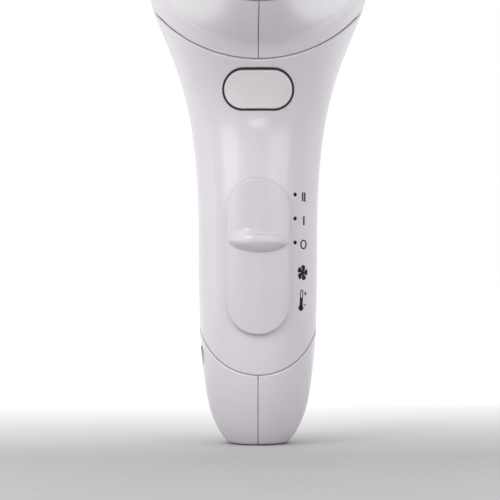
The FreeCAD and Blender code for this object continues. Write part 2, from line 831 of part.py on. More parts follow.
def cool_button():
    ring_blank = cut("RingBlank", button_outline("RingOuter", "0", "-reach", "-wall"),
                     button_outline("RingInner", "ring_thickness", "-reach", "0"))
    ring_front = common("RingFront", ring_blank, handle_loft("RingFace", "0", "ring_proud"))
    sub_part("button_ring", cut("ButtonRing", ring_front, handle_loft("RingBack", "wall")))
    cap = common("KeyCap",
                 button_outline("KeyOutline", "ring_thickness + button_gap", "-reach", "-button_back"),
                 handle_loft("KeyFace", "0", "button_proud"))
    flange = common("KeyFlange",
                    button_outline("FlangeOutline", "-flange_width", "-reach", "-button_back"),
                    handle_loft("FlangeFace", "wall + flange_gap"))

    def is_face_rim(edge):
        return edge.BoundBox.YMax < -size("button_back") - size("wall") / 2

    face = rounded("KeyFaceRounded", cap, size("button_edge_round"), is_face_rim)
    seat = ("0", "-button_pocket_depth", "button_centre")
    pocket = cylinder("KeyPocket", "button_pocket_radius", "reach", seat)
    pin = cylinder("KeyPin", "button_pin_radius", "button_pocket_depth - button_pin_end", seat)
    sub_part("cool_button", fuse("CoolButton", cut("KeyShell", fuse("KeyBlank", face, flange), pocket), pin))
    spring_length = size("button_pocket_depth") - size("microswitch_front") - 2 * size("spring_wire")
    spring_seat = ("0", "spring_wire - button_pocket_depth", "button_centre")
    sub_part("button_spring",
             coil("ButtonSpring", "spring_radius", "spring_turns", spring_length, "spring_wire", spring_seat))
    case = box("MicroBlock",
               ("-microswitch_width / 2", "-microswitch_front", "button_centre - microswitch_height / 2"),
               ("microswitch_width / 2", "-chassis_front", "button_centre + microswitch_height / 2"))
    bore = cylinder("PlungerBore", "plunger_radius + plunger_fit",
                    "reach - plunger_back + button_travel + plunger_end_gap",
                    ("0", "-reach", "button_centre"))
    sub_part("cool_microswitch", cut("MicroCase", case, bore))
    sub_part("microswitch_plunger", cylinder("Plunger", "plunger_radius", "button_pin_end - plunger_back",
                                             ("0", "-button_pin_end", "button_centre")))


# Cord inlet, cord clamp and hanging loop


def inlet_and_clamp():
    bush = fuse("BushForm",
                cylinder("BushSleeve", "bush_radius", "bush_height", ("0", "0", "0"), UPRIGHT),
                cylinder("BushFlange", "bush_flange_radius", "bush_flange_height",
                         ("0", "0", "floor_thickness"), UPRIGHT))
    bore = cylinder("InletBore", "inlet_radius", "reach", ("0", "0", "-reach / 2"), UPRIGHT)
    sub_part("cord_bush", cut("CordBush", bush, bore))
    bar = box("ClampBar", ("-clamp_half_width", "clamp_front", "clamp_bottom"),
              ("clamp_half_width", "clamp_front + clamp_thickness", "clamp_bottom + clamp_height"))
    saddle = cylinder("ClampSaddle", "clamp_saddle_radius", "reach", ("0", "0", "0"), UPRIGHT)
    height = "clamp_bottom + clamp_height / 2"
    back = "clamp_front + clamp_thickness"
    holes = []
    screws = []
    for side in (-1, 1):
        at_x = f"{side} * clamp_screw_spacing"
        holes.append(cylinder(f"ClampHole{side + 1}", "clamp_screw_radius + clamp_hole_fit", "reach",
                              (at_x, "0", height)))
        shank = cylinder(f"ClampShank{side + 1}", "clamp_screw_radius", "clamp_screw_length",
                         (at_x, f"{back} - clamp_screw_length", height))
        head = cylinder(f"ClampHead{side + 1}", "clamp_screw_head", "clamp_screw_head_height",
                        (at_x, back, height))
        screws.append(fuse(f"ClampScrew{side + 1}", shank, head))
    sub_part("cord_clamp", cut("CordClamp", bar, fuse("ClampHoles", saddle, *holes)))
    sub_part("clamp_screws", group("ClampScrews", *screws))


def hanging_loop():
    half = "loop_thickness / 2"
    eye = across("LoopDisc", "loop_eye_radius + loop_bar", f"-{half}", half, "loop_depth", "loop_height")
    hole = across("LoopEye", "loop_eye_radius", "-reach", "reach", "loop_depth", "loop_height")
    tab = box("LoopTab", (f"-{half}", "loop_foot_start", "loop_height - loop_tab_height / 2"),
              (half, "loop_depth", "loop_height + loop_tab_height / 2"))
    foot = box("LoopFoot", ("-loop_foot_half_width", "loop_foot_start", "loop_height - loop_tab_height / 2"),
               ("loop_foot_half_width", "loop_foot_start + loop_foot_thickness",
                "loop_height + loop_tab_height / 2"))
    sub_part("hanging_loop", cut("HangingLoop", fuse("LoopForm", eye, tab, foot), hole))


# Rear cap, filter, fan and motor


def dome(name, inset, rim_radius):
    """A drum with a slightly domed end and a rounded rim, drawn in by a wall."""
    ball = doc.addObject("Part::Sphere", name + "Ball")
    bind(ball, Radius=f"cap_crown_radius - {inset}")
    put(ball, about=("0", "cap_start + cap_depth - cap_crown_radius", "axis_height"))
    drum = axial(name + "Drum", f"cap_radius - {inset}", "cap_start", "cap_start + cap_depth")

    def is_rim(edge):
        return edge.BoundBox.YMin > size("cap_start") + size("cap_wall") and edge.BoundBox.YLength < FLAT

    return rounded(name, common(name + "Sharp", drum, ball), rim_radius, is_rim)


def rear_cap():
    skin = dome("CapOuter", "0", size("cap_rim_round"))
    shell = cut("CapSkin", skin, dome("CapInner", "cap_wall", size("cap_rim_round") - size("cap_wall")))
    base = axial("CapBase", "cap_radius", "cap_start", "cap_start + cap_base")
    skirt = axial("CapSkirt", "cap_skirt_radius", "cap_skirt_start", "cap_start + cap_base / 2")
    bore = axial("CapBore", "cap_skirt_radius - cap_skirt_wall", "-reach", "cap_start + cap_base")
    slots = []
    for i in range(CAP_RING_COUNT):
        inner = f"cap_ring_first + {i} * cap_ring_pitch"
        outer = f"{inner} + cap_ring_opening"
        slots.append(tube(f"CapSlot{i}", outer, inner, "cap_start + cap_base", "reach"))
    ribs = [
        box(f"CapRib{i}", ("cap_ring_first - cap_rib_width", "cap_start", "-cap_rib_width / 2"),
            ("reach", "reach", "cap_rib_width / 2"), turn, BARREL_AXIS)
        for i, turn in enumerate(around(CAP_RIB_COUNT))
    ]
    grille = cut("CapSlots", fuse("CapRings", *slots), fuse("CapRibs", *ribs))
    lugs = []
    for i in range(LUG_COUNT):
        slice_of = sector(f"CapLugSlice{i}", "cap_skirt_radius + lug_height", "lug_start",
                          "lug_start + lug_length", 360 * i / LUG_COUNT - size("lug_angle") / 2, "lug_angle")
        core = axial(f"CapLugCore{i}", "cap_skirt_radius - cap_skirt_wall / 2",
                     "cap_skirt_start", "cap_start")
        lugs.append(cut(f"CapLug{i}", slice_of, core))
    opened = cut("CapOpen", fuse("CapJoined", shell, base, skirt), fuse("CapVoid", bore, grille))
    sub_part("rear_cap", fuse("CapSolid", opened, *lugs))


def inlet_filter():
    rim = tube("FilterRim", "filter_radius", "filter_radius - filter_rim",
               "filter_start", "filter_start + filter_thickness")
    bars = []
    for i in range(FILTER_BAR_COUNT):
        shift = f"{i - (FILTER_BAR_COUNT - 1) / 2} * filter_pitch"
        for turn in (FreeCAD.Rotation(), FreeCAD.Rotation(VECTOR(0, 1, 0), 90)):
            bars.append(box(f"FilterBar{i}",
                            ("-filter_radius", "filter_start", f"{shift} - filter_bar / 2"),
                            ("filter_radius", "filter_start + filter_thickness", f"{shift} + filter_bar / 2"),
                            turn, BARREL_AXIS))
    disc = axial("FilterDisc", "filter_radius - filter_rim / 2",
                 "filter_start", "filter_start + filter_thickness")
    sub_part("inlet_filter", fuse("InletFilter", rim, common("FilterMesh", fuse("FilterBars", *bars), disc)))


def fan_shroud():
    wall = tube("ShroudTube", "shroud_outer_radius", "shroud_inner_radius", "shroud_start", "shroud_end")
    flange = tube("ShroudFlange", "tail_bore_radius", "shroud_inner_radius",
                  "shroud_end - shroud_flange", "shroud_end")
    sleeve = tube("ShroudSleeve", "sleeve_radius", "can_radius", "sleeve_start", "sleeve_end")
    middle = ("0", "(sleeve_start + sleeve_end) / 2", "axis_height")
    chord = f"(sleeve_end - sleeve_start) * {VANE_CHORD_SHARE}"
    vanes = [
        box(f"Vane{i}", ("sleeve_radius - vane_sink", f"-{chord}", "-vane_thickness / 2"),
            ("shroud_inner_radius + vane_sink", chord, "vane_thickness / 2"),
            turn * FreeCAD.Rotation(VECTOR(1, 0, 0), size("vane_angle")), middle)
        for i, turn in enumerate(around(VANE_COUNT))
    ]
    sub_part("fan_shroud", fuse("FanShroud", wall, flange, sleeve, *vanes))


def origin_plane(body, role):
    return next(feature for feature in body.Origin.OriginFeatures if feature.Role == role)


def rectangle_sketch(body, name, plane, wide, tall, offset):
    """A rectangle centred on its plane's origin, sized from the sheet."""
    sketch = body.newObject("Sketcher::SketchObject", name)
    sketch.AttachmentSupport = [(origin_plane(body, plane), "")]
    sketch.MapMode = "FlatFace"
    sketch.AttachmentOffset = offset
    corners = [VECTOR(-1, -1, 0), VECTOR(1, -1, 0), VECTOR(1, 1, 0), VECTOR(-1, 1, 0)]
    for start, end in zip(corners, corners[1:] + corners[:1]):
        sketch.addGeometry(Part.LineSegment(start, end))
    for i in range(4):
        sketch.addConstraint(Sketcher.Constraint("Coincident", i, 2, (i + 1) % 4, 1))
    for i, way in enumerate(("Horizontal", "Vertical", "Horizontal", "Vertical")):
        sketch.addConstraint(Sketcher.Constraint(way, i))
    sketch.addConstraint(Sketcher.Constraint("Symmetric", 0, 1, 1, 2, -1, 1))
    across_it = sketch.addConstraint(Sketcher.Constraint("DistanceX", 0, 1, 0, 2, 2.0))
    up_it = sketch.addConstraint(Sketcher.Constraint("DistanceY", 1, 1, 1, 2, 2.0))
    sketch.setExpression(f"Constraints[{across_it}]", formula(wide))
    sketch.setExpression(f"Constraints[{up_it}]", formula(tall))
    return sketch


def circle_sketch(body, name, plane, radius):
    sketch = body.newObject("Sketcher::SketchObject", name)
    sketch.AttachmentSupport = [(origin_plane(body, plane), "")]
    sketch.MapMode = "FlatFace"
    sketch.addGeometry(Part.Circle(VECTOR(), VECTOR(0, 0, 1), 1.0))
    sketch.addConstraint(Sketcher.Constraint("Coincident", 0, 3, -1, 1))
    radius_it = sketch.addConstraint(Sketcher.Constraint("Radius", 0, 1.0))
    sketch.setExpression(f"Constraints[{radius_it}]", formula(radius))
    return sketch


def fan_impeller():
    body = doc.addObject("PartDesign::Body", "FanImpeller")
    put(body, turn=ALONG_Y, about=("0", "hub_start + hub_length / 2", "axis_height"))
    hub = body.newObject("PartDesign::Pad", "HubPad")
    hub.Profile = circle_sketch(body, "HubOutline", "XY_Plane", "hub_radius")
    hub.Midplane = True
    bind(hub, Length="hub_length")
    doc.recompute()
    rounding = body.newObject("PartDesign::Fillet", "HubNose")
    top = [f"Edge{i}" for i, edge in enumerate(hub.Shape.Edges, start=1)
           if edge.BoundBox.ZMin > size("hub_length") / 2 - FLAT]
    rounding.Base = (hub, top)
    bind(rounding, Radius="hub_length / 3")
    doc.recompute()
    sections = []
    for end in ("root", "tip"):
        radius = f"blade_{end}_radius"
        offset = FreeCAD.Placement(VECTOR(0, 0, size(radius)),
                                   FreeCAD.Rotation(VECTOR(0, 0, 1), 90 - size(f"blade_pitch_{end}")))
        sketch = rectangle_sketch(body, "Blade" + end.title(), "YZ_Plane",
                                  "blade_thickness", f"blade_chord_{end}", offset)
        sketch.setExpression("AttachmentOffset.Base.z", formula(radius))
        sections.append(sketch)
    blade = body.newObject("PartDesign::AdditiveLoft", "Blade")
    blade.Profile = sections[0]
    blade.Sections = sections[1:]
    doc.recompute()
    ring = body.newObject("PartDesign::PolarPattern", "Blades")
    ring.Originals = [blade]
    ring.Axis = (origin_plane(body, "Z_Axis"), [""])
    ring.Angle = 360
    ring.Occurrences = BLADE_COUNT
    body.Tip = ring
    doc.recompute()
    bore = body.newObject("PartDesign::Pocket", "ShaftBore")
    bore.Profile = circle_sketch(body, "ShaftOutline", "XY_Plane", "shaft_radius")
    bore.Type = "ThroughAll"
    bore.Midplane = True
    body.Tip = bore
    return sub_part("fan_impeller", body)


def motor():
    can = cut("CanShell", axial("CanOuter", "can_radius", "can_start", "can_end"),
              fuse("CanVoid",
                   axial("CanBore", "can_radius - can_wall", "can_start - overrun", "can_end - can_wall"),
                   axial("CanBushHole", "bush_outer_radius", "can_start", "reach")))
    sub_part("motor_can", can)
    end_disc = axial("EndDisc", "can_radius", "end_cap_start", "can_start")
    spigot = axial("EndSpigot", "can_radius - can_wall", "can_start", "can_start + end_cap_spigot")
    posts = [
        box(f"BrushPost{i}", ("brush_reach", "can_start", "-post_width / 2"),
            ("brush_reach + post_width", "can_start + end_cap_spigot + post_height", "post_width / 2"),
            turn, BARREL_AXIS)
        for i, turn in enumerate(around(2))
    ]
    end_bore = axial("EndBore", "bush_outer_radius", "-reach", "can_start + end_cap_spigot")
    sub_part("motor_end_cap", cut("EndCap", fuse("EndCapForm", end_disc, spigot, *posts), end_bore))
    brushes = [
        box(f"Brush{i}", ("commutator_radius + brush_fit", "brush_start", "-brush_width / 2"),
            ("brush_reach", "brush_start + brush_width", "brush_width / 2"), turn, BARREL_AXIS)
        for i, turn in enumerate(around(2))
    ]
    sub_part("motor_brushes", group("Brushes", *brushes))
    rear = ("can_end - can_wall - bush_length + bush_proud", "can_end + bush_proud")
    front = ("end_cap_start", "end_cap_start + bush_length")
    bushes = [tube(f"MotorBush{i}", "bush_outer_radius", "shaft_radius + shaft_fit", *ends)
              for i, ends in enumerate((front, rear))]
    sub_part("motor_bushes", group("MotorBushes", *bushes))
    arcs = [
        cut(f"MagnetArc{i}", tube(f"MagnetRing{i}", "can_radius - can_wall", "magnet_inner_radius",
                                  "magnet_start", "magnet_start + magnet_length"),
            box(f"MagnetCut{i}", ("-reach", "-reach", "-reach"), ("reach", "reach", "magnet_gap / 2"),
                turn, BARREL_AXIS))
        for i, turn in enumerate(around(2))
    ]
    sub_part("motor_magnets", group("Magnets", *arcs))
    sub_part("motor_shaft", axial("Shaft", "shaft_radius", "shaft_start", "shaft_end"))
    core = tube("ArmatureCore", "armature_radius", "shaft_radius",
                "armature_start", "armature_start + armature_length")
    slots = [
        box(f"ArmatureSlot{i}", ("armature_radius / 2", "-reach", "-armature_slot / 2"),
            ("reach", "reach", "armature_slot / 2"), turn, BARREL_AXIS)
        for i, turn in enumerate(around(ARMATURE_SLOT_COUNT))
    ]
    sub_part("motor_armature", cut("Armature", core, fuse("ArmatureSlots", *slots)))
    sub_part("motor_commutator", tube("Commutator", "commutator_radius", "shaft_radius",
                                      "commutator_start", "commutator_start + commutator_length"))


def supply_board():
    board_front = "board_start + board_thickness"
    sub_part("rectifier_board", axial("Board", "board_radius", "board_start", board_front))
    tabs = [
        box(f"MotorTab{i}",
            ("tab_spacing - tab_width / 2", board_front, "-tab_thickness / 2"),
            ("tab_spacing + tab_width / 2", "end_cap_start", "tab_thickness / 2"), turn, BARREL_AXIS)
        for i, turn in enumerate(around(2))
    ]
    sub_part("motor_tabs", group("MotorTabs", *tabs))
    diodes = [
        across(f"Diode{i}", "diode_radius", "-diode_length / 2", "diode_length / 2",
               "board_start - diode_radius", f"axis_height + {i - (DIODE_COUNT - 1) / 2} * diode_spacing")
        for i in range(DIODE_COUNT)
    ]
    sub_part("rectifier_diodes", group("Diodes", *diodes))


# Heater


def mica_board(label, turn, slot_start, slot_end):
    """A board on the barrel's axis: slotted to cross another, notched where the wire passes its edges."""
    half = "mica_thickness / 2"
    web = box(label + "_web", ("-mica_half_width", "mica_start", f"-{half}"),
              ("mica_half_width", "mica_end", half), turn, BARREL_AXIS)
    tabs = [
        box(f"{label}_tab{i}", ("-mica_tab_half_width", start, f"-{half}"),
            ("mica_tab_half_width", f"{start} + mica_tab_length", half), turn, BARREL_AXIS)
        for i, start in enumerate(("mica_start", "mica_end - mica_tab_length"))
    ]
    slot = box(label + "_slot",
               (f"-{half} - mica_fit", slot_start, "-reach"), (f"{half} + mica_fit", slot_end, "reach"),
               turn, BARREL_AXIS)
    notches = []
    for side in (0, 180):
        edge_turn = FreeCAD.Rotation(VECTOR(0, 1, 0), side) * turn
        phase = (edge_turn.Angle * (1 if edge_turn.Axis.y > 0 else -1) / (2 * math.pi)) % 1
        for i in range(int(size("coil_turns")) + 1):
            middle = f"coil_start + ({i} + {round(phase, 4)}) * coil_pitch"
            notches.append(box(f"{label}_notch{side}_{i}",
                               ("notch_floor", f"{middle} - notch_width / 2", "-mica_thickness"),
                               ("reach", f"{middle} + notch_width / 2", "mica_thickness"),
                               edge_turn, BARREL_AXIS))
    blank = fuse(label + "_blank", web, *tabs)
    return sub_part(label, cut(label + "_cut", blank, fuse(label + "_voids", slot, *notches)))


def heater():
    inner = "tube_radius - tube_wall"
    sub_part("mica_tube", tube("MicaTube", "tube_radius", inner, "tube_start", "tube_end"))
    sub_part("heater_collar", tube("HeaterCollar", "collar_radius", "tube_radius",
                                   "tube_end - collar_thickness", "tube_end"))
    middle = "(mica_start + mica_end) / 2"
    mica_board("mica_board_flat", UPRIGHT, "-reach", middle)
    mica_board("mica_board_upright", FreeCAD.Rotation(VECTOR(0, 1, 0), 90), middle, "reach")
    coil_length = size("coil_pitch") * size("coil_turns")
    sub_part("heater_coil", coil("HeaterCoil", "coil_radius", "coil_turns", coil_length, "coil_wire",
                                 ("0", "coil_start", "axis_height")))
    board_top = "axis_height + mica_thickness / 2"
    end = "mica_end - thermostat_inset"
    sub_part("thermostat", box(
        "Thermostat", ("thermostat_width / 2", f"{end} - thermostat_length", board_top),
        ("thermostat_width * 1.5", end, f"{board_top} + thermostat_height")))
    fuse_place = ("-thermostat_width", f"{end} - fuse_length", f"{board_top} + fuse_radius")
    sub_part("thermal_fuse", cylinder("ThermalFuse", "fuse_radius", "fuse_length", fuse_place))


# Outlet and concentrator nozzle


def outlet():
    back = "outlet_grille_start + outlet_grille_depth"
    rings = []
    for i in range(OUTLET_RING_COUNT):
        outer = f"outlet_grille_radius - {i} * outlet_ring_pitch"
        rings.append(tube(f"OutletRing{i}", outer, f"{outer} - outlet_ring_bar", "outlet_grille_start", back))
    spokes = [
        box(f"OutletSpoke{i}", ("outlet_hub_radius / 2", "outlet_grille_start", "-outlet_ring_bar / 2"),
            ("outlet_grille_radius - outlet_ring_bar / 2", back, "outlet_ring_bar / 2"), turn, BARREL_AXIS)
        for i, turn in enumerate(around(OUTLET_SPOKE_COUNT))
    ]
    hub = axial("OutletHub", "outlet_hub_radius", "outlet_grille_start", back)
    sub_part("outlet_grille", fuse("OutletGrille", hub, *rings, *spokes))
    lip = axial("OutletLip", "ring_lip_radius", "ring_seat - ring_lip_width", "ring_seat")
    collar = axial("OutletCollar", "ring_collar_radius", "ring_start", "ring_seat")
    sleeve = axial("OutletSleeve", "ring_sleeve_radius", "ring_seat", "ring_end")
    bore = axial("OutletBore", "ring_bore_radius", "-reach", "0")
    sub_part("outlet_ring", cut("OutletRing", fuse("OutletForm", lip, collar, sleeve), bore))


def nozzle_loft(name, start, mouth, inset):
    """Round at the collar, narrowing to a wide flat slot at the tip."""
    stations = [(start, mouth, mouth), ("nozzle_shoulder", mouth, mouth)]
    for share in NOZZLE_SHARES:
        ease = round((1 - math.cos(math.pi * share)) / 2, 4)
        stations.append((f"nozzle_shoulder + (nozzle_tip - nozzle_shoulder) * {share}",
                         f"({mouth}) + (nozzle_tip_width - {inset} - ({mouth})) * {ease}",
                         f"({mouth}) + (nozzle_tip_height - {inset} - ({mouth})) * {ease}"))
    sections = []
    for i, (place, wide, tall) in enumerate(stations):
        ellipse = doc.addObject("Part::Ellipse", f"{name}{i}")
        bind(ellipse, MajorRadius=wide, MinorRadius=tall)
        sections.append(put(ellipse, turn=ALONG_Y, about=("0", place, "axis_height")))
    loft = doc.addObject("Part::Loft", name)
    loft.Sections = sections
    loft.Solid = True
    return loft


def concentrator_nozzle():
    outer = nozzle_loft("NozzleOuter", "nozzle_back", "ring_collar_radius + nozzle_fit + nozzle_wall", "0")
    passage = nozzle_loft("NozzleInner", "ring_start + overrun",
                          "ring_collar_radius - nozzle_stop", "nozzle_wall")
    collar_bore = axial("NozzleBore", "ring_collar_radius + nozzle_fit", "ring_start - nozzle_gap", "0")
    sub_part("concentrator_nozzle", cut("Nozzle", cut("NozzleShell", outer, passage), collar_bore))


# Inner leads: each is a round wire along a smooth curve through a few points


def lead(name, points):
    curve = Part.BSplineCurve()
    curve.interpolate([VECTOR(*point) for point in points])
    path = Part.Wire([curve.toShape()])
    start = VECTOR(*points[0])
    section = Part.Wire([Part.makeCircle(size("lead_radius"), start, curve.tangent(curve.FirstParameter)[0])])
    item = doc.addObject("Part::Feature", name)
    item.Shape = path.makePipeShell([section], True, True)
    item.Placement = FreeCAD.Placement()
    return item


def leads():
    """The flex's two cores and the heater's two feeds, behind the switch and up into the barrel."""
    entry_height = size("clamp_bottom") + size("clamp_height") + 2
    terminals = [size("terminal_first") + i * size("terminal_pitch") for i in range(TERMINAL_COUNT)]
    at_blade = size("terminal_length") - size("switch_back") + size("lead_radius") + size("lead_gap")
    past_boss = size("lead_depth")
    past_block = size("capacitor_thickness") - size("chassis_back") + size("lead_radius") \
        + size("lead_clearance")
    under_motor = size("axis_height") - size("shroud_outer_radius") + 2
    heater_entry = (size("mica_end") + 2, size("axis_height") - size("tube_radius") + 8)
    board_entry = (size("board_start"), size("axis_height") - size("board_radius") - size("lead_clearance"))
    live = [(-2, 1, entry_height), (-2.5, past_boss, 29), (-2.5, past_boss, 38),
            (-1.5, at_blade, terminals[0])]
    neutral = [(2, 1, entry_height), (2.5, past_boss, 29), (2.5, past_boss, 38), (4.5, past_boss, 70),
               (5, past_block, 104), (5, 0, under_motor), (5, *heater_entry)]
    hot = [(-1, at_blade, terminals[1]), (-4.5, past_boss, 84), (-5, past_block, 104), (-5, 0, under_motor),
           (-5, *heater_entry)]
    motor_feed = [(0, at_blade, terminals[2]), (0, past_boss, 90), (0, past_block, 104), (0, 0, under_motor),
                  (0, *board_entry)]
    sub_part("mains_leads", group("MainsLeads", lead("LiveLead", live), lead("NeutralLead", neutral)))
    sub_part("heater_leads", group("HeaterLeads", lead("HotLead", hot), lead("MotorLead", motor_feed)))


def check_and_export():
    """Stops on any feature that failed, then writes one STEP file for each sub-part."""
    doc.recompute()
    broken = [item.Name for item in doc.Objects if {"Invalid", "Error"} & set(item.State)]
    if broken:
        raise RuntimeError(f"features that failed: {broken}")
    os.makedirs("parts", exist_ok=True)
    for item in SUB_PARTS:
        if item.Shape.isNull() or not item.Shape.isValid():
            raise RuntimeError(f"{item.Label} has no valid shape")
        item.Shape.exportStep(f"parts/{item.Label}.step")
    print(len(SUB_PARTS), "sub-parts")


housing()
housing_screws()
switch_plate()
slide_switch()
cool_button()
inlet_and_clamp()
hanging_loop()
rear_cap()
inlet_filter()
fan_shroud()
fan_impeller()
motor()
supply_board()
heater()
outlet()
concentrator_nozzle()
leads()
check_and_export()
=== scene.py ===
import json
import math

import bmesh
import bpy
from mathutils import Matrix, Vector
from mathutils.bvhtree import BVHTree


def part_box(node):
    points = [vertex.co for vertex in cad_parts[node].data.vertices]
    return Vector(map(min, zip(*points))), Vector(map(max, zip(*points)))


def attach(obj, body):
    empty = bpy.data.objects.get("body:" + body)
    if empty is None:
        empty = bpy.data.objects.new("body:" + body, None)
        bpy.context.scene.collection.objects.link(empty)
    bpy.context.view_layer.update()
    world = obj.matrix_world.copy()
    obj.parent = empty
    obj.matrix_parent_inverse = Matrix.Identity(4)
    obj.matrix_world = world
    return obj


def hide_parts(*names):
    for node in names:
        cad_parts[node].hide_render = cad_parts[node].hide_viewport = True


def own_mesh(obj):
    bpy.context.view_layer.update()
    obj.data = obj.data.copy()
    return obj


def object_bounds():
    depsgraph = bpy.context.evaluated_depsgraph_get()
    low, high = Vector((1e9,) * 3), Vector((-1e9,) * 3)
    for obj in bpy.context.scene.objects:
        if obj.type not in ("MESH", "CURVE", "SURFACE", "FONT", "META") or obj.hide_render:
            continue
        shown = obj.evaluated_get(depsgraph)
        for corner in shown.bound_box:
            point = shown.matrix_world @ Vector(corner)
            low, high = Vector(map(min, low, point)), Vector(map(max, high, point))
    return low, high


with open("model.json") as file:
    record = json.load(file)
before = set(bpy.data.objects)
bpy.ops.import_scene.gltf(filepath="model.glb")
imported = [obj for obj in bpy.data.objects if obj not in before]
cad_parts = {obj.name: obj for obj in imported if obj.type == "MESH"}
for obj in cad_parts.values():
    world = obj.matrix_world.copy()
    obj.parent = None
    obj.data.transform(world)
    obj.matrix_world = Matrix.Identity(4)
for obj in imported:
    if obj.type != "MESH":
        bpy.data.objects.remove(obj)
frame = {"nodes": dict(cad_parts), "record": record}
CAD_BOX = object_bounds()
NODES = frame["nodes"]

MM = 0.001

# ---------------------------------------------------------------- materials


def srgb(red, green, blue):
    """Linear colour of an 8-bit screen colour."""
    channels = []
    for value in (red, green, blue):
        share = value / 255
        channels.append(share / 12.92 if share <= 0.04045 else ((share + 0.055) / 1.055) ** 2.4)
    return (*channels, 1.0)


def scaled(color, factor):
    """The colour made lighter or darker."""
    return tuple(min(1.0, channel * factor) for channel in color[:3]) + (1.0,)


class Surface:
    """A node material: a Principled shader fed by procedural textures in the object's own metres."""

    def __init__(self, name):
        self.material = bpy.data.materials.new(name)
        self.material.use_nodes = True
        self.tree = self.material.node_tree
        self.shader = self.tree.nodes["Principled BSDF"]
        self.place = self.tree.nodes.new("ShaderNodeTexCoord").outputs["Object"]

    def link(self, source, target):
        self.tree.links.new(source, target)

    def stretch(self, x, y, z):
        """The object's coordinates, scaled along each axis."""
        node = self.tree.nodes.new("ShaderNodeMapping")
        node.inputs["Scale"].default_value = (x, y, z)
        self.link(self.place, node.inputs["Vector"])
        return node.outputs["Vector"]

    def noise(self, size_mm, detail=2.0, rough=0.5, place=None):
        """Soft clouds of about this size."""
        node = self.tree.nodes.new("ShaderNodeTexNoise")
        node.inputs["Scale"].default_value = 1 / (size_mm * MM)
        node.inputs["Detail"].default_value = detail
        node.inputs["Roughness"].default_value = rough
        self.link(place or self.place, node.inputs["Vector"])
        return node.outputs["Fac"]

    def cells(self, size_mm, place=None):
        """Rounded grains of about this size."""
        node = self.tree.nodes.new("ShaderNodeTexVoronoi")
        node.inputs["Scale"].default_value = 1 / (size_mm * MM)
        self.link(place or self.place, node.inputs["Vector"])
        return node.outputs["Distance"]

    def span(self, source, low, high, start=0.3, end=0.7):
        """Maps a texture's middle values onto a range."""
        node = self.tree.nodes.new("ShaderNodeMapRange")
        node.inputs["From Min"].default_value = start
        node.inputs["From Max"].default_value = end
        node.inputs["To Min"].default_value = low
        node.inputs["To Max"].default_value = high
        self.link(source, node.inputs["Value"])
        return node.outputs["Result"]

    def graded(self, axis, start, end):
        """Rises from 0 to 1 along one of the object's axes."""
        node = self.tree.nodes.new("ShaderNodeSeparateXYZ")
        self.link(self.place, node.inputs["Vector"])
        return self.span(node.outputs[axis], 0, 1, start, end)

    def overlaid(self, first, second, share):
        """The first texture with a share of the second in it."""
        node = self.tree.nodes.new("ShaderNodeMix")
        node.inputs["Factor"].default_value = share
        self.link(first, node.inputs["A"])
        self.link(second, node.inputs["B"])
        return node.outputs["Result"]

    def ramp(self, source, *stops):
        """A colour that runs through the stops as the texture rises."""
        node = self.tree.nodes.new("ShaderNodeValToRGB")
        elements = node.color_ramp.elements
        while len(elements) < len(stops):
            elements.new(0.5)
        for element, (position, color) in zip(elements, stops):
            element.position = position
            element.color = color
        self.link(source, node.inputs["Fac"])
        return node.outputs["Color"]

    def color(self, source):
        self.link(source, self.shader.inputs["Base Color"])

    def roughness(self, source):
        self.link(source, self.shader.inputs["Roughness"])

    def bump(self, source, height_mm):
        """Relief of this height, added to any relief already there."""
        node = self.tree.nodes.new("ShaderNodeBump")
        node.inputs["Distance"].default_value = height_mm * MM
        node.inputs["Strength"].default_value = 1.0
        previous = self.shader.inputs["Normal"]
        if previous.is_linked:
            self.link(previous.links[0].from_socket, node.inputs["Normal"])
        self.link(source, node.inputs["Height"])
        self.link(node.outputs["Normal"], previous)

    def set(self, **values):
        """Plain values on the shader's own sockets."""
        for name, value in values.items():
            self.shader.inputs[name.replace("_", " ")].default_value = value


PEEL_MM = 0.0012
COLOR_DRIFT = 0.02


def moulded_plastic(name, color, gloss):
    """Injection-moulded plastic: faint colour drift, uneven gloss, fine orange peel and hairline rubs."""
    surface = Surface(name)
    cloud = surface.noise(26, 3.0)
    dull, bright = scaled(color, 1 - COLOR_DRIFT), scaled(color, 1 + COLOR_DRIFT)
    surface.color(surface.ramp(cloud, (0.3, dull), (0.7, bright)))
    rubs = surface.noise(0.5, 4.0, 0.65, surface.stretch(1, 1, 0.06))
    surface.roughness(surface.span(rubs, gloss * 0.85, gloss * 1.2, 0.25, 0.75))
    surface.bump(surface.noise(1.6, 2.0), PEEL_MM)
    surface.bump(surface.noise(0.12, 2.0), PEEL_MM * 0.25)
    surface.set(IOR=1.5)
    return surface.material


def grained_plastic(name, color, gloss, grain_mm=0.35, depth_mm=0.02):
    """Spark-eroded plastic: a fine leathery grain that breaks up the gloss."""
    surface = Surface(name)
    grain = surface.cells(grain_mm)
    surface.color(surface.ramp(surface.noise(9, 3.0), (0.35, scaled(color, 0.9)), (0.65, scaled(color, 1.1))))
    surface.roughness(surface.span(grain, gloss * 1.15, gloss * 0.85, 0.1, 0.6))
    surface.bump(grain, depth_mm)
    surface.bump(surface.noise(grain_mm * 3, 2.0), depth_mm * 0.5)
    return surface.material


def soft_rubber(name, color):
    """Silicone or soft PVC: dull, with a dusty bloom and tiny pits."""
    surface = Surface(name)
    bloom = surface.noise(3, 5.0, 0.6)
    surface.color(surface.ramp(bloom, (0.35, scaled(color, 0.85)), (0.7, scaled(color, 1.25))))
    surface.roughness(surface.span(surface.noise(0.8, 3.0), 0.5, 0.72))
    surface.bump(surface.noise(0.25, 3.0), 0.01)
    surface.set(Sheen_Weight=0.15, Sheen_Roughness=0.4)
    return surface.material


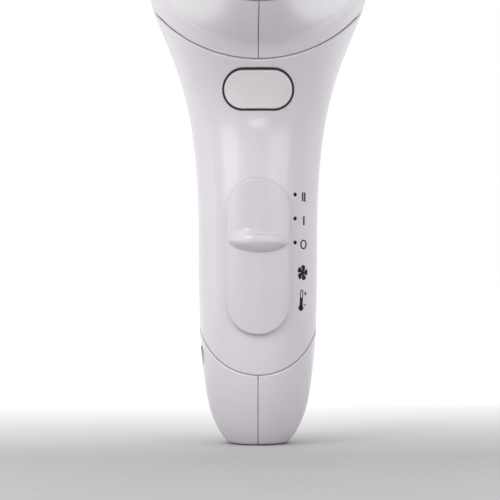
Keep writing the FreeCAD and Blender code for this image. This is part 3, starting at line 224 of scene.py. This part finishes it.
def turned_metal(name, color, gloss, line_mm=0.25, axis_stretch=(1, 0.04, 1)):
    """Drawn or turned metal: fine lines along the work, darker in the valleys, a few smudges."""
    surface = Surface(name)
    lines = surface.noise(line_mm, 3.0, 0.6, surface.stretch(*axis_stretch))
    smudge = surface.noise(6, 3.0)
    surface.color(surface.ramp(lines, (0.3, scaled(color, 0.8)), (0.7, scaled(color, 1.1))))
    surface.roughness(surface.span(smudge, gloss * 0.8, gloss * 1.3))
    surface.bump(lines, 0.006)
    surface.set(Metallic=1.0)
    return surface.material


def mica_sheet(name):
    """Pressed mica: flaky layers, pale gold to brown, with a pearly gloss."""
    surface = Surface(name)
    flakes = surface.cells(2.2, surface.stretch(1, 0.5, 1))
    pale, deep = srgb(196, 181, 148), srgb(140, 118, 84)
    surface.color(surface.ramp(flakes, (0.1, deep), (0.45, pale)))
    surface.roughness(surface.span(surface.noise(1.1, 3.0), 0.3, 0.55))
    surface.bump(flakes, 0.03)
    surface.set(Coat_Weight=0.2, Coat_Roughness=0.25)
    return surface.material


def circuit_board(name):
    """Paper-phenolic board: brown fibres under a thin lacquer."""
    surface = Surface(name)
    fibre = surface.noise(0.4, 4.0, 0.6, surface.stretch(0.2, 1, 1))
    surface.color(surface.ramp(fibre, (0.3, srgb(120, 78, 38)), (0.7, srgb(158, 112, 62))))
    surface.roughness(surface.span(surface.noise(4), 0.35, 0.5))
    surface.bump(fibre, 0.008)
    return surface.material


def printing_ink(name):
    """Pad-printed ink: near black, semi-matt, with a slightly uneven film."""
    surface = Surface(name)
    film = surface.noise(0.3, 3.0)
    surface.color(surface.ramp(film, (0.35, srgb(14, 12, 16)), (0.7, srgb(24, 21, 26))))
    surface.roughness(surface.span(film, 0.45, 0.6))
    surface.bump(film, 0.004)
    surface.set(Specular_IOR_Level=0.2)
    return surface.material


# grey of the painted shade on the floor in front of the object, and the card's white behind it
PAINTED_SHADE_GREY = (0.3, 0.3, 0.3, 1)
CARD_WHITE = (0.92, 0.92, 0.92, 1)


def studio_floor(name):
    """A sheet of card with painted shade: pale grey in front of the object, standing in for shade that cuts
    the light bounced up from there, running to white behind the object.
    """
    surface = Surface(name)
    tone = surface.overlaid(surface.graded("Y", -0.06, 0.34), surface.noise(60, 4.0), 0.04)
    surface.color(surface.ramp(tone, (0.0, PAINTED_SHADE_GREY), (1.0, CARD_WHITE)))
    surface.roughness(surface.span(surface.noise(2), 0.7, 0.85))
    surface.bump(surface.noise(0.7, 3.0), 0.01)
    return surface.material


WHITE = srgb(204, 199, 206)
FINISHES = {
    "shell_white": moulded_plastic("shell_white", WHITE, 0.2),
    "control_white": moulded_plastic("control_white", srgb(197, 191, 197), 0.24),
    "button_grey": moulded_plastic("button_grey", srgb(211, 207, 209), 0.3),
    "gasket_black": soft_rubber("gasket_black", srgb(26, 24, 28)),
    "grille_grey": grained_plastic("grille_grey", srgb(74, 74, 79), 0.42, 0.3, 0.015),
    "trim_chrome": turned_metal("trim_chrome", srgb(205, 206, 211), 0.12, 0.15, (1, 1, 1)),
    "rubber_grey": soft_rubber("rubber_grey", srgb(150, 148, 152)),
    "nylon_white": grained_plastic("nylon_white", srgb(212, 209, 199), 0.45),
    "nylon_black": grained_plastic("nylon_black", srgb(36, 36, 39), 0.4),
    "steel": turned_metal("steel", srgb(168, 169, 173), 0.3),
    "spring_steel": turned_metal("spring_steel", srgb(150, 151, 155), 0.25, 0.1, (1, 1, 1)),
    "motor_steel": turned_metal("motor_steel", srgb(158, 160, 165), 0.32),
    "copper": turned_metal("copper", srgb(184, 104, 66), 0.3),
    "nichrome": turned_metal("nichrome", srgb(112, 104, 100), 0.4, 0.1, (1, 1, 1)),
    "brass": turned_metal("brass", srgb(192, 160, 88), 0.28),
    "carbon": grained_plastic("carbon", srgb(44, 42, 43), 0.6, 0.2),
    "wire_sleeve": soft_rubber("wire_sleeve", srgb(64, 62, 68)),
    "mica": mica_sheet("mica"),
    "board_brown": circuit_board("board_brown"),
}


def dress(node, material):
    """Gives a CAD node its only material."""
    mesh = NODES[node].data
    mesh.materials.clear()
    mesh.materials.append(material)


for row in frame["record"]["subparts"]:
    dress(row["node"], FINISHES[row["material_slot"]])

# ---------------------------------------------------------------- pieces of the visual model


def finished(build, name, material, smooth=False):
    """Turns the built mesh into an object in the scene."""
    mesh = bpy.data.meshes.new(name)
    build.to_mesh(mesh)
    build.free()
    if smooth:
        mesh.shade_smooth()
    mesh.materials.append(material)
    piece = bpy.data.objects.new(name, mesh)
    bpy.context.scene.collection.objects.link(piece)
    return piece


def smooth_step(value, low, high):
    """Eases from 0 to 1 between two values."""
    share = min(1.0, max(0.0, (value - low) / (high - low)))
    return share * share * (3 - 2 * share)


def mix(first, second, share):
    """The value at a share of the way from first to second."""
    return first + (second - first) * share


def joined(build, loops):
    """Fills the space between each closed loop of points and the next with four-sided faces."""
    for first, second in zip(loops, loops[1:]):
        for i in range(len(first)):
            j = (i + 1) % len(first)
            build.faces.new((first[i], first[j], second[j], second[i]))


# ---------------------------------------------------------------- slide plate with its thumb ridge

# sizes of the plate, its ridge and the stem behind it, in millimetres
PLATE_LOW, PLATE_HIGH = (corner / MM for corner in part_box("switch_plate"))
PLATE_HALF_WIDTH = PLATE_HIGH.x
PLATE_STRAIGHT = (PLATE_HIGH.z - PLATE_LOW.z) / 2 - PLATE_HALF_WIDTH
PLATE_CENTRE = (PLATE_HIGH.z + PLATE_LOW.z) / 2
PLATE_AXIS = 0.25
PLATE_OUTER = (21.9, 22.65)
PLATE_INNER = (20.9, 21.6)
PLATE_RIM = 0.62
PLATE_STEP = 0.3
PLATE_ARC_STEPS = 40
BACK_INSETS = (PLATE_HALF_WIDTH, 7.0, 3.0, 0.0)
ROW_STEP = 0.9
RIDGE_ROW_STEP = 0.13
RIDGE_MARGIN = 0.3
MERGE_DISTANCE = 0.002

STEM_HALF = 2.7
STEM_HEIGHTS = (59.5, 65.5)
STEM_EDGE = 0.3

RIDGE_HALF = 9.6
RIDGE_CREST = 68.0
RIDGE_CREST_FALL = 1.0
RIDGE_PROUD = 2.45
RIDGE_RISE = 4.6
RIDGE_DROP = 3.75
LIP_RISE = 2.0
LIP_RAMP = 1.2
LIP_GROOVE = 0.32
GROOVE_SHARE = 0.1
LIP_LOW, LIP_HIGH = 0.85, 1.15


def plate_depth(form, across):
    """How far the plate's outer or inner face stands in front of the handle's middle."""
    wide, deep = form
    return deep * math.sqrt(1 - (across / wide) ** 2) - PLATE_AXIS


def soft_ridge(share, above):
    """The ridge at its left end, where it swells smoothly out of the plate."""
    close = (1 - abs(share) ** 2.2) ** 0.5
    fall = abs(above) / ((RIDGE_RISE if above > 0 else RIDGE_DROP) * close)
    return 0.0 if fall >= 1 else close * (1 - fall * fall) ** 1.5


def crisp_ridge(share, above):
    """The ridge at its right end: a ramp, a groove and a lip above, a steep face below and a pointed tip."""
    swell = (1 - abs(share) ** 3) ** 0.6
    if above <= 0:
        fall = -above / (RIDGE_DROP * (1 - abs(share) ** 3))
        return 0.0 if fall >= 1 else swell * (1 - fall ** 1.5) ** 0.8
    lip = LIP_RISE * (1 - abs(share) ** 8) ** 0.5
    low, high = LIP_LOW / RIDGE_PROUD, LIP_HIGH / RIDGE_PROUD
    if above < lip:
        return swell * mix(high, 1.0, math.sqrt(1 - (above / lip) ** 2))
    past = above - lip
    groove = max(0.0, 1 - past / LIP_GROOVE) * GROOVE_SHARE
    return swell * (low * smooth_step(LIP_RAMP - past, 0, LIP_RAMP - LIP_GROOVE / 2) - groove)


def ridge_height(across, height):
    """How far the thumb ridge stands out of the plate."""
    share = across / RIDGE_HALF
    if abs(share) >= 1:
        return 0.0
    above = height - RIDGE_CREST + RIDGE_CREST_FALL * max(0.0, share) ** 3
    crisp = smooth_step(share, -0.5, 0.1)
    return RIDGE_PROUD * max(0.0, mix(soft_ridge(share, above), crisp_ridge(share, above), crisp))


def plate_rows():
    """Heights of the mesh rows along the plate's straight sides, close together over the ridge."""
    rows = [-PLATE_STRAIGHT]
    crest = RIDGE_CREST - PLATE_CENTRE
    low, high = crest - RIDGE_DROP - RIDGE_MARGIN, crest + RIDGE_RISE + RIDGE_MARGIN
    while rows[-1] < PLATE_STRAIGHT:
        step = RIDGE_ROW_STEP if low < rows[-1] < high else ROW_STEP
        rows.append(min(PLATE_STRAIGHT, rows[-1] + step))
    return rows


def plate_outline(inset, rows):
    """Points once round the plate, drawn in from its edge."""
    radius = PLATE_HALF_WIDTH - inset
    angles = [math.pi * i / PLATE_ARC_STEPS for i in range(1, PLATE_ARC_STEPS)]
    points = [(radius, row) for row in rows]
    points += [(radius * math.cos(a), PLATE_STRAIGHT + radius * math.sin(a)) for a in angles]
    points += [(-radius, row) for row in reversed(rows)]
    points += [(-radius * math.cos(a), -PLATE_STRAIGHT - radius * math.sin(a)) for a in angles]
    return [(across, PLATE_CENTRE + height) for across, height in points]


def add_box(build, low, high):
    """A box between two corners, its edges slightly rounded."""
    made = bmesh.ops.create_cube(build, size=1.0)["verts"]
    middle, span = (Vector(low) + Vector(high)) / 2, Vector(high) - Vector(low)
    for vertex in made:
        vertex.co = middle + Vector(a * b for a, b in zip(vertex.co, span))
    edges = list({edge for vertex in made for edge in vertex.link_edges})
    bmesh.ops.bevel(build, geom=edges, offset=STEM_EDGE * MM, segments=2, affect="EDGES")


def slide_plate():
    """The plate the thumb pushes: a curved shell with a rounded rim, the ridge and a stem behind."""
    rows = plate_rows()
    rim = [PLATE_RIM * (1 - math.cos(math.radians(angle))) for angle in range(0, 90, 15)]
    flat_steps = round((PLATE_HALF_WIDTH - PLATE_RIM) / PLATE_STEP)
    flat = [mix(PLATE_RIM, PLATE_HALF_WIDTH, i / flat_steps) for i in range(flat_steps + 1)]
    build = bmesh.new()

    def front_depth(inset, across, height):
        fall = max(0.0, PLATE_RIM - inset)
        rounding = PLATE_RIM - math.sqrt(PLATE_RIM ** 2 - fall ** 2)
        return plate_depth(PLATE_OUTER, across) + ridge_height(across, height) - rounding

    def back_depth(inset, across, height):
        return plate_depth(PLATE_INNER, across)

    def ring(inset, depth):
        return [build.verts.new((across * MM, -depth(inset, across, height) * MM, height * MM))
                for across, height in plate_outline(inset, rows)]

    loops = [ring(inset, back_depth) for inset in BACK_INSETS]
    loops += [ring(inset, front_depth) for inset in rim + flat]
    joined(build, loops)
    bmesh.ops.remove_doubles(build, verts=build.verts[:], dist=MERGE_DISTANCE * MM)
    add_box(build, (-STEM_HALF * MM, -PLATE_INNER[1] * MM, STEM_HEIGHTS[0] * MM),
            (STEM_HALF * MM, PLATE_HIGH.y * MM, STEM_HEIGHTS[1] * MM))
    bmesh.ops.recalc_face_normals(build, faces=build.faces[:])
    piece = finished(build, "thumb_plate", FINISHES["control_white"], smooth=True)
    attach(piece, "slide_plate")
    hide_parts("switch_plate")


slide_plate()

# ---------------------------------------------------------------- button spring

SPRING_LOW, SPRING_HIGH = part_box("button_spring")
SPRING_WIRE = 0.35 * MM
SPRING_RADIUS = (SPRING_HIGH.x - SPRING_LOW.x) / 2 - SPRING_WIRE
SPRING_TURNS = 5
SPRING_STEPS = 32
WIRE_SIDES = 10


def button_coil():
    """A round wire wound along Y behind the button."""
    start, end = SPRING_LOW.y + SPRING_WIRE, SPRING_HIGH.y - SPRING_WIRE
    height = (SPRING_LOW.z + SPRING_HIGH.z) / 2
    count = SPRING_TURNS * SPRING_STEPS
    slope = (end - start) / (2 * math.pi * SPRING_TURNS * SPRING_RADIUS)
    build = bmesh.new()
    rings = []
    turns = [2 * math.pi * i / WIRE_SIDES for i in range(WIRE_SIDES)]
    for i in range(count + 1):
        angle = 2 * math.pi * i / SPRING_STEPS
        outward = Vector((math.cos(angle), 0, math.sin(angle)))
        along = Vector((-math.sin(angle), slope, math.cos(angle))).normalized()
        middle = Vector((0, mix(start, end, i / count), height)) + outward * SPRING_RADIUS
        across = along.cross(outward)
        rings.append([build.verts.new(middle + (outward * math.cos(a) + across * math.sin(a)) * SPRING_WIRE)
                      for a in turns])
    joined(build, rings)
    build.faces.new(rings[0])
    build.faces.new(rings[-1])
    bmesh.ops.recalc_face_normals(build, faces=build.faces[:])
    piece = finished(build, "button_coil", FINISHES["spring_steel"], smooth=True)
    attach(piece, "housing")
    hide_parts("button_spring")
    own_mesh(piece)


button_coil()

# ---------------------------------------------------------------- printed marks on the cover


def surface_of(name):
    """A tree of the node's faces, for finding where a straight line meets them."""
    mesh = NODES[name].data
    corners = [vertex.co.copy() for vertex in mesh.vertices]
    return BVHTree.FromPolygons(corners, [list(face.vertices) for face in mesh.polygons])


COVER = surface_of("front_cover")
INK = printing_ink("printing_ink")
INK_HEIGHT = 0.03 * MM
INK_SINK = 0.05 * MM
INK_STEP = 0.35 * MM
INK_ROUNDS = 4
IN_FRONT = -1.0


def on_cover(across, height, lift):
    """The point of the cover's front at a place seen from the front, moved off it by a lift."""
    start = Vector((across, IN_FRONT, height))
    place, normal, _, _ = COVER.ray_cast(start, Vector((0, 1, 0)))
    return place + normal * lift if normal.y < 0 else place - normal * lift


def printed(name, outlines):
    """A thin film of ink on the cover: flat outlines in millimetres, each bent to the surface."""
    build = bmesh.new()
    for outline in outlines:
        corners = [build.verts.new((across * MM, 0, height * MM)) for across, height in outline]
        build.faces.new(corners)
    bmesh.ops.triangulate(build, faces=build.faces[:])
    for _ in range(INK_ROUNDS):
        long_edges = [edge for edge in build.edges if edge.calc_length() > INK_STEP]
        if not long_edges:
            break
        bmesh.ops.subdivide_edges(build, edges=long_edges, cuts=1)
        bmesh.ops.triangulate(build, faces=build.faces[:])
    bmesh.ops.recalc_face_normals(build, faces=build.faces[:])
    top = {vertex: on_cover(vertex.co.x, vertex.co.z, INK_HEIGHT) for vertex in build.verts}
    grown = bmesh.ops.extrude_face_region(build, geom=build.faces[:])
    fresh = [item for item in grown["geom"] if isinstance(item, bmesh.types.BMVert)]
    for vertex in fresh:
        vertex.co = on_cover(vertex.co.x, vertex.co.z, -INK_SINK)
    for vertex, place in top.items():
        vertex.co = place
    bmesh.ops.recalc_face_normals(build, faces=build.faces[:])
    piece = finished(build, name, INK)
    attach(piece, "housing")


def ellipse(across, height, wide, tall, count=28):
    """Points round an ellipse given by its half sizes."""
    angles = [2 * math.pi * i / count for i in range(count)]
    return [(across + wide * math.cos(angle), height + tall * math.sin(angle)) for angle in angles]


CORNER_STEPS = 3


def bar(across, height, wide, tall):
    """A bar with rounded corners."""
    half_x, half_z = wide / 2, tall / 2
    corner = min(half_x, half_z) * 0.5
    points = []
    for index, (side_x, side_z) in enumerate(((1, 1), (-1, 1), (-1, -1), (1, -1))):
        for step in range(CORNER_STEPS + 1):
            angle = math.pi / 2 * (index + step / CORNER_STEPS)
            points.append((across + side_x * (half_x - corner) + corner * math.cos(angle),
                           height + side_z * (half_z - corner) + corner * math.sin(angle)))
    return points


HOOP_STEPS = 32


def hoop(across, height, wide, tall, line):
    """A closed line round an ellipse, as one ring of four-sided outlines."""
    outlines = []
    for i in range(HOOP_STEPS):
        pair = [2 * math.pi * j / HOOP_STEPS for j in (i, i + 1)]
        outer = [(across + wide * math.cos(a), height + tall * math.sin(a)) for a in pair]
        inner = [(across + (wide - line) * math.cos(a), height + (tall - line) * math.sin(a)) for a in pair]
        outlines.append([outer[0], outer[1], inner[1], inner[0]])
    return outlines


# places and sizes of the marks in millimetres, across and up, as seen from the front
DOT_ACROSS = 12.25
DOT_HALF = (0.56, 0.68)
DOT_POINTS = 20
STEP_HEIGHTS = (67.5, 75.45, 83.4)
OFF_RING = {"across": 15.08, "height": 66.85, "wide": 1.1, "tall": 1.6, "line": 0.42}
LOW_BAR = (15.2, 74.75, 0.5, 3.0)
HIGH_BARS = ((14.8, 82.7, 0.46, 3.05), (15.5, 82.6, 0.5, 3.05))
PLUS_BARS = ((15.67, 50.5, 0.66, 0.42), (15.67, 50.5, 0.36, 1.15))
MINUS_BAR = (15.45, 46.7, 0.72, 0.42)

FAN_CENTRE = (14.75, 57.45)
FAN_HALF = (1.68, 2.55)
FAN_BLADES = 5
FAN_START = math.radians(82)
FAN_HUB = (0.26, 0.24)
FAN_HUB_POINTS = 18
# one blade seen from the front, along its length and across it, as shares of the fan's half size
FAN_BLADE = ((0.08, -0.1), (0.34, -0.3), (0.6, -0.46), (0.82, -0.46), (0.97, -0.26), (1.02, 0.04),
             (0.93, 0.3), (0.68, 0.31), (0.38, 0.14), (0.1, 0.1))


def fan_blades():
    """Broad rounded blades round a small hub, drawn narrow because the surface turns away."""
    outlines = [ellipse(*FAN_CENTRE, FAN_HALF[0] * FAN_HUB[0], FAN_HALF[1] * FAN_HUB[1], FAN_HUB_POINTS)]
    for i in range(FAN_BLADES):
        angle = FAN_START + 2 * math.pi * i / FAN_BLADES
        blade = []
        for along, across in FAN_BLADE:
            x = along * math.cos(angle) - across * math.sin(angle)
            z = along * math.sin(angle) + across * math.cos(angle)
            blade.append((FAN_CENTRE[0] + x * FAN_HALF[0], FAN_CENTRE[1] + z * FAN_HALF[1]))
        outlines.append(blade)
    return outlines


BULB = (14.2, 45.75)
BULB_HALF = (0.82, 1.0)
TUBE_TOP = 51.2
TUBE_FILL = 49.2
TUBE_HALF = 0.5
TUBE_LINE = 0.27
TUBE_LEAN = 0.3
TUBE_ARCH = 1.3
TUBE_ARCH_STEPS = 8


def thermometer():
    """A tube that leans a little, hollow at the top and filled below, on a round bulb."""
    def middle(height):
        return BULB[0] + TUBE_LEAN * (height - BULB[1]) / (TUBE_TOP - BULB[1])

    def arch(half, angle):
        return middle(TUBE_TOP) + half * math.cos(angle), TUBE_TOP + half * TUBE_ARCH * math.sin(angle)

    outlines = [ellipse(*BULB, *BULB_HALF)]
    outlines.append([(middle(BULB[1]) - TUBE_HALF, BULB[1]),
                     (middle(BULB[1]) + TUBE_HALF, BULB[1]),
                     (middle(TUBE_FILL) + TUBE_HALF, TUBE_FILL),
                     (middle(TUBE_FILL) - TUBE_HALF, TUBE_FILL)])
    inner = TUBE_HALF - TUBE_LINE
    for side in (-1, 1):
        outlines.append([(middle(TUBE_FILL) + side * TUBE_HALF, TUBE_FILL),
                         (middle(TUBE_TOP) + side * TUBE_HALF, TUBE_TOP),
                         (middle(TUBE_TOP) + side * inner, TUBE_TOP),
                         (middle(TUBE_FILL) + side * inner, TUBE_FILL)])
    for i in range(TUBE_ARCH_STEPS):
        low, high = (math.pi * j / TUBE_ARCH_STEPS for j in (i, i + 1))
        outlines.append([arch(TUBE_HALF, low), arch(TUBE_HALF, high), arch(inner, high), arch(inner, low)])
    return outlines


for index, height in enumerate(STEP_HEIGHTS):
    printed(f"print_dot_{index}", [ellipse(DOT_ACROSS, height, *DOT_HALF, DOT_POINTS)])
printed("print_off_ring", hoop(**OFF_RING))
printed("print_low_bar", [bar(*LOW_BAR)])
printed("print_high_bars", [bar(*place) for place in HIGH_BARS])
printed("print_fan", fan_blades())
printed("print_thermometer", thermometer())
printed("print_warmer", [bar(*place) for place in PLUS_BARS])
printed("print_cooler", [bar(*MINUS_BAR)])

# ---------------------------------------------------------------- floor, lights, camera

FLOOR_RADIUS = 4.0
FLOOR_GAP = 0.2 * MM


def floor():
    """A round sheet of card just under the object."""
    build = bmesh.new()
    bmesh.ops.create_circle(build, cap_ends=True, segments=96, radius=FLOOR_RADIUS)
    piece = finished(build, "studio_floor", studio_floor("studio_card"))
    piece.location.z = CAD_BOX[0][2] - FLOOR_GAP


def softbox(name, place, target, width, height, power, color, spread=180):
    """A soft rectangular lamp that points at a place and isn't seen itself; spread is its beam in degrees."""
    light = bpy.data.lights.new(name, "AREA")
    light.shape = "RECTANGLE"
    light.size, light.size_y = width, height
    light.energy = power
    light.color = color
    light.spread = math.radians(spread)
    lamp = bpy.data.objects.new(name, light)
    bpy.context.scene.collection.objects.link(lamp)
    lamp.location = place
    lamp.visible_camera = False
    lamp.rotation_euler = (Vector(target) - Vector(place)).to_track_quat("-Z", "Y").to_euler()


def backdrop_light():
    """A white tent: brightest behind and above the object, dimmer in front of it and low down."""
    world = bpy.data.worlds.new("studio")
    world.use_nodes = True
    nodes, links = world.node_tree.nodes, world.node_tree.links
    direction = nodes.new("ShaderNodeSeparateXYZ")
    links.new(nodes.new("ShaderNodeTexCoord").outputs["Generated"], direction.inputs[0])

    def span(axis, start, end, low, high):
        """Runs from low to high as one part of the direction runs from start to end."""
        node = nodes.new("ShaderNodeMapRange")
        for name, value in (("From Min", start), ("From Max", end), ("To Min", low), ("To Max", high)):
            node.inputs[name].default_value = value
        links.new(direction.outputs[axis], node.inputs["Value"])
        return node.outputs["Result"]

    def blend(operation, first, second):
        node = nodes.new("ShaderNodeMath")
        node.operation = operation
        links.new(first, node.inputs[0])
        links.new(second, node.inputs[1])
        return node.outputs[0]

    front = blend("ADD", span("Z", 0.0, 0.9, 0.38, 1.5), span("X", -0.9, 0.9, 0.05, 0.0))
    strength = blend("MAXIMUM", front, span("Y", -0.05, 0.25, 0.0, 1.0))
    nodes["Background"].inputs["Color"].default_value = (1, 1, 1, 1)
    links.new(strength, nodes["Background"].inputs["Strength"])
    bpy.context.scene.world = world


# what the lamps point at, and their tints
HANDLE, NECK, BARREL = (0, 0, 0.07), (0, 0, 0.14), (0, 0, 0.2)
WARM, NEUTRAL, PINK, COOL = (1.0, 0.985, 0.985), (1.0, 0.99, 0.99), (1.0, 0.99, 1.0), (0.97, 0.97, 1.0)


def studio():
    """A bright tent, a large key from the upper left, and small lamps that even out the handle."""
    backdrop_light()
    softbox("key", (-0.45, -0.72, 0.95), HANDLE, 0.4, 0.4, 3.5, WARM)
    softbox("strip", (-0.6, -0.95, 0.45), NECK, 0.2, 0.56, 0.7, WARM)
    softbox("rim", (-0.9, 0.12, 0.2), HANDLE, 0.16, 0.7, 0.3, NEUTRAL)
    softbox("fill_right", (0.27, -0.34, 0.16), NECK, 0.3, 0.2, 0.44, COOL)
    softbox("kicker", (0, -0.34, 0.03), BARREL, 0.3, 0.04, 0.03, PINK, spread=50)
    softbox("fill_left", (-0.25, -0.2, 0.13), NECK, 0.18, 0.14, 0.22, NEUTRAL)


VIEW_DISTANCE = 0.9
VIEW_WIDTH = 0.165
VIEW_SIDE = -0.0027
VIEW_HEIGHT = 0.065
# how far the plate's face lies behind the cover's foremost point
FACE_BEHIND = 0.011
SENSOR = 36.0


def camera():
    """A level, long-lens camera in front of the handle."""
    lens = bpy.data.cameras.new("camera")
    lens.sensor_width = SENSOR
    lens.lens = SENSOR * VIEW_DISTANCE / VIEW_WIDTH
    lens.clip_end = 20
    eye = bpy.data.objects.new("camera", lens)
    bpy.context.scene.collection.objects.link(eye)
    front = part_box("front_cover")[0].y + FACE_BEHIND
    eye.location = (VIEW_SIDE, front - VIEW_DISTANCE, VIEW_HEIGHT)
    eye.rotation_euler = (math.pi / 2, 0, 0)
    bpy.context.scene.camera = eye


floor()
studio()
camera()
bpy.context.scene.view_settings.view_transform = "Standard"
